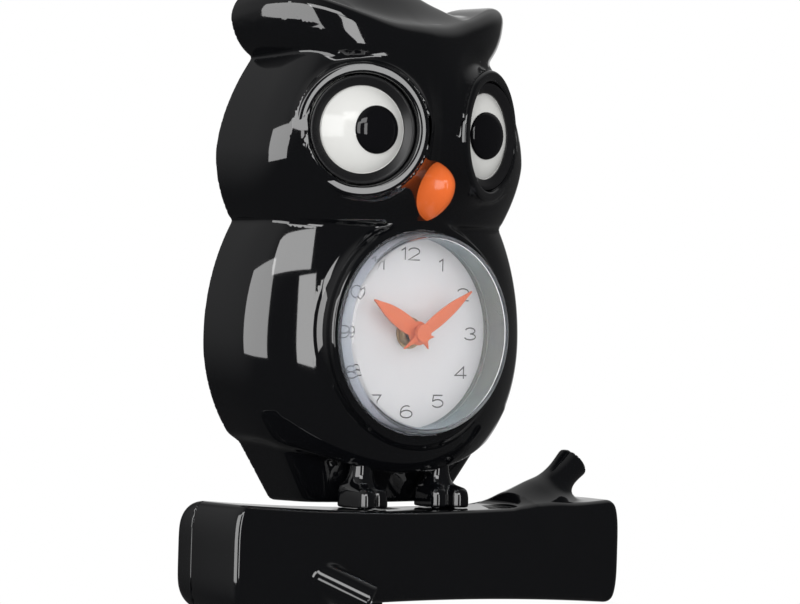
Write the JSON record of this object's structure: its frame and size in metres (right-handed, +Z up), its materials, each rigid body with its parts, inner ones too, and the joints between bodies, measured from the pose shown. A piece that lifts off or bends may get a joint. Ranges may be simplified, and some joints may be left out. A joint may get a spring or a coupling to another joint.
{
  "type": "pendulum wall clock",
  "caption": "Glossy black owl wall clock on a log, with a domed dial cap in its belly, orange hands and beak, a quartz movement and a swinging tail pendulum.",
  "frame": {"origin": "on the wall plane at the top end of the keyhole slot, where the wall screw carries the clock", "axes": "+Z up, +Y into the wall, +X to the right of a person facing the dial"},
  "size_m": [0.245, 0.0926, 0.3768],
  "materials": {
    "shell_black": "high gloss injection moulding",
    "inner_black": "fine satin",
    "bezel_grey": "satin",
    "eye_white": "gloss",
    "pupil_black": "high gloss",
    "beak_orange": "gloss",
    "hand_orange": "matt paint",
    "clear": "clear, polished",
    "dial_white": "matt white paint",
    "brass": "turned",
    "steel": "zinc plated",
    "copper": "enamelled winding",
    "board": "solder mask",
    "wheel_nylon": "natural moulding",
    "battery_wrap": "gloss wrap"
  },
  "bodies": {
    "clock": {"owl_shell": "shell_black", "back_cover": "inner_black", "back_screw_1": "steel", "back_screw_2": "steel", "back_screw_3": "steel", "back_screw_4": "steel", "eye_white_left": "eye_white", "eye_white_right": "eye_white", "eye_bezel_left": "bezel_grey", "eye_bezel_right": "bezel_grey", "pupil_left": "pupil_black", "pupil_right": "pupil_black", "beak": "beak_orange", "crystal": "clear", "dial": "dial_white", "dial_washer": "brass", "dial_nut": "brass", "dial_screw_1": "steel", "dial_screw_2": "steel", "dial_screw_3": "steel", "dial_screw_4": "steel", "movement_case": "inner_black", "movement_lid": "inner_black", "stator": "steel", "motor_coil": "copper", "circuit_board": "board", "battery": "battery_wrap", "battery_contact_left": "steel", "battery_contact_right": "steel", "pendulum_coil": "copper", "pendulum_pin": "steel", "log_front": "shell_black", "log_back": "shell_black", "log_screw_1": "steel", "log_screw_2": "steel", "log_screw_3": "steel", "log_screw_4": "steel", "foot_left": "shell_black", "foot_right": "shell_black", "foot_screw_left": "steel", "foot_screw_right": "steel"},
    "minute": {"minute_hand": "hand_orange", "centre_wheel": "wheel_nylon"},
    "hour": {"hour_hand": "hand_orange", "hour_wheel": "wheel_nylon"},
    "motion": {"motion_wheel": "wheel_nylon", "set_knob": "inner_black"},
    "third": {"third_wheel": "wheel_nylon"},
    "seconds": {"seconds_wheel": "wheel_nylon"},
    "rotor": {"rotor": "steel"},
    "pendulum": {"pendulum_hanger": "inner_black", "pendulum_magnet": "steel", "pendulum_rod": "steel", "pendulum_tail": "shell_black"}
  },
  "joints": [
    {"name": "minute_turn", "type": "hinge", "parent": "clock", "child": "minute", "pos_m": [0, -0.05, -0.112], "axis": [0, 1, 0], "continuous": true},
    {"name": "hour_turn", "type": "hinge", "parent": "clock", "child": "hour", "pos_m": [0, -0.046, -0.112], "axis": [0, 1, 0], "continuous": true},
    {"name": "motion_turn", "type": "hinge", "parent": "clock", "child": "motion", "pos_m": [0.01143, -0.037, -0.1186], "axis": [0, 1, 0], "continuous": true},
    {"name": "third_turn", "type": "hinge", "parent": "clock", "child": "third", "pos_m": [-0.01104, -0.033, -0.10562], "axis": [0, 1, 0], "continuous": true},
    {"name": "seconds_turn", "type": "hinge", "parent": "clock", "child": "seconds", "pos_m": [-0.00898, -0.032, -0.09392], "axis": [0, 1, 0], "continuous": true},
    {"name": "rotor_turn", "type": "hinge", "parent": "clock", "child": "rotor", "pos_m": [0.004, -0.032, -0.091], "axis": [0, 1, 0], "continuous": true},
    {"name": "pendulum_swing", "type": "hinge", "parent": "clock", "child": "pendulum", "pos_m": [0, -0.0143, -0.09], "axis": [0, 1, 0], "range_deg": [-6, 6]}
  ],
  "couplings": [
    {"joint": "hour_turn", "follows": "minute_turn", "ratio": 0.083333},
    {"joint": "motion_turn", "follows": "minute_turn", "ratio": -0.33333},
    {"joint": "third_turn", "follows": "minute_turn", "ratio": -7.5},
    {"joint": "seconds_turn", "follows": "minute_turn", "ratio": 60}
  ]
}
